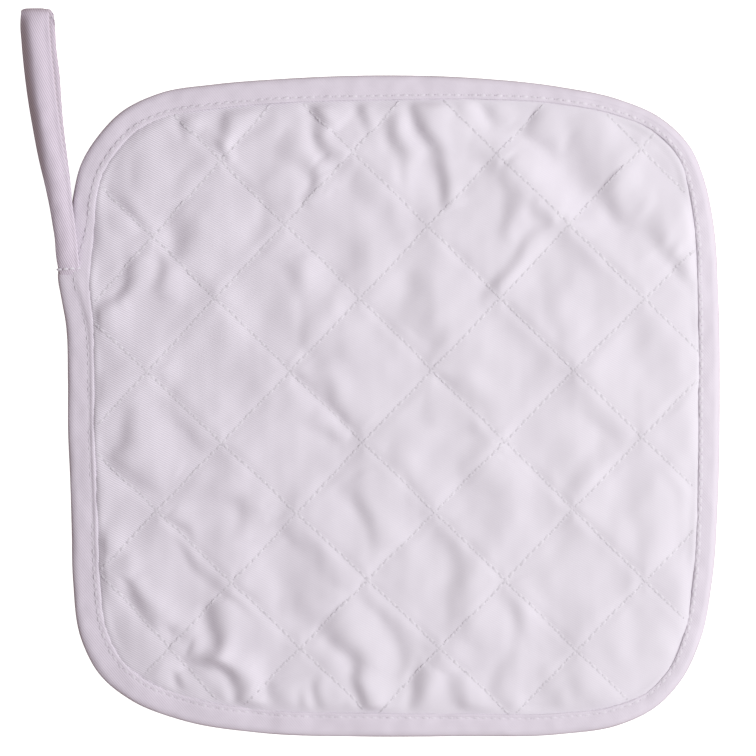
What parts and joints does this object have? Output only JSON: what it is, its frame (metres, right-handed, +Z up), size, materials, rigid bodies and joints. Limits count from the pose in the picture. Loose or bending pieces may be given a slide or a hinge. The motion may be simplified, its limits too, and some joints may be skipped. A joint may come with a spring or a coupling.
{
  "type": "pot holder",
  "caption": "Square quilted pot holder of pale twill, bound all round with folded tape, with a hanging loop of the same tape at one corner.",
  "frame": {"origin": "middle of the outline's bounding box, on the surface that the pot holder lies on; it falls in the flat underside of a quilted diamond", "axes": "+Z up out of the quilted face, +Y towards the edge with the hanging loop's tip, +X to the right as seen from above"},
  "size_m": [0.2115, 0.22, 0.0088],
  "materials": {
    "pad_twill": "matte cotton twill, pale lilac-white",
    "binding_tape": "matte cotton twill tape, pale lilac-white",
    "loop_tape": "matte cotton twill tape, pale lilac-white"
  },
  "bodies": {
    "root": {"quilted_pad": "pad_twill", "edge_binding": "binding_tape", "hanging_loop": "loop_tape"}
  },
  "joints": []
}
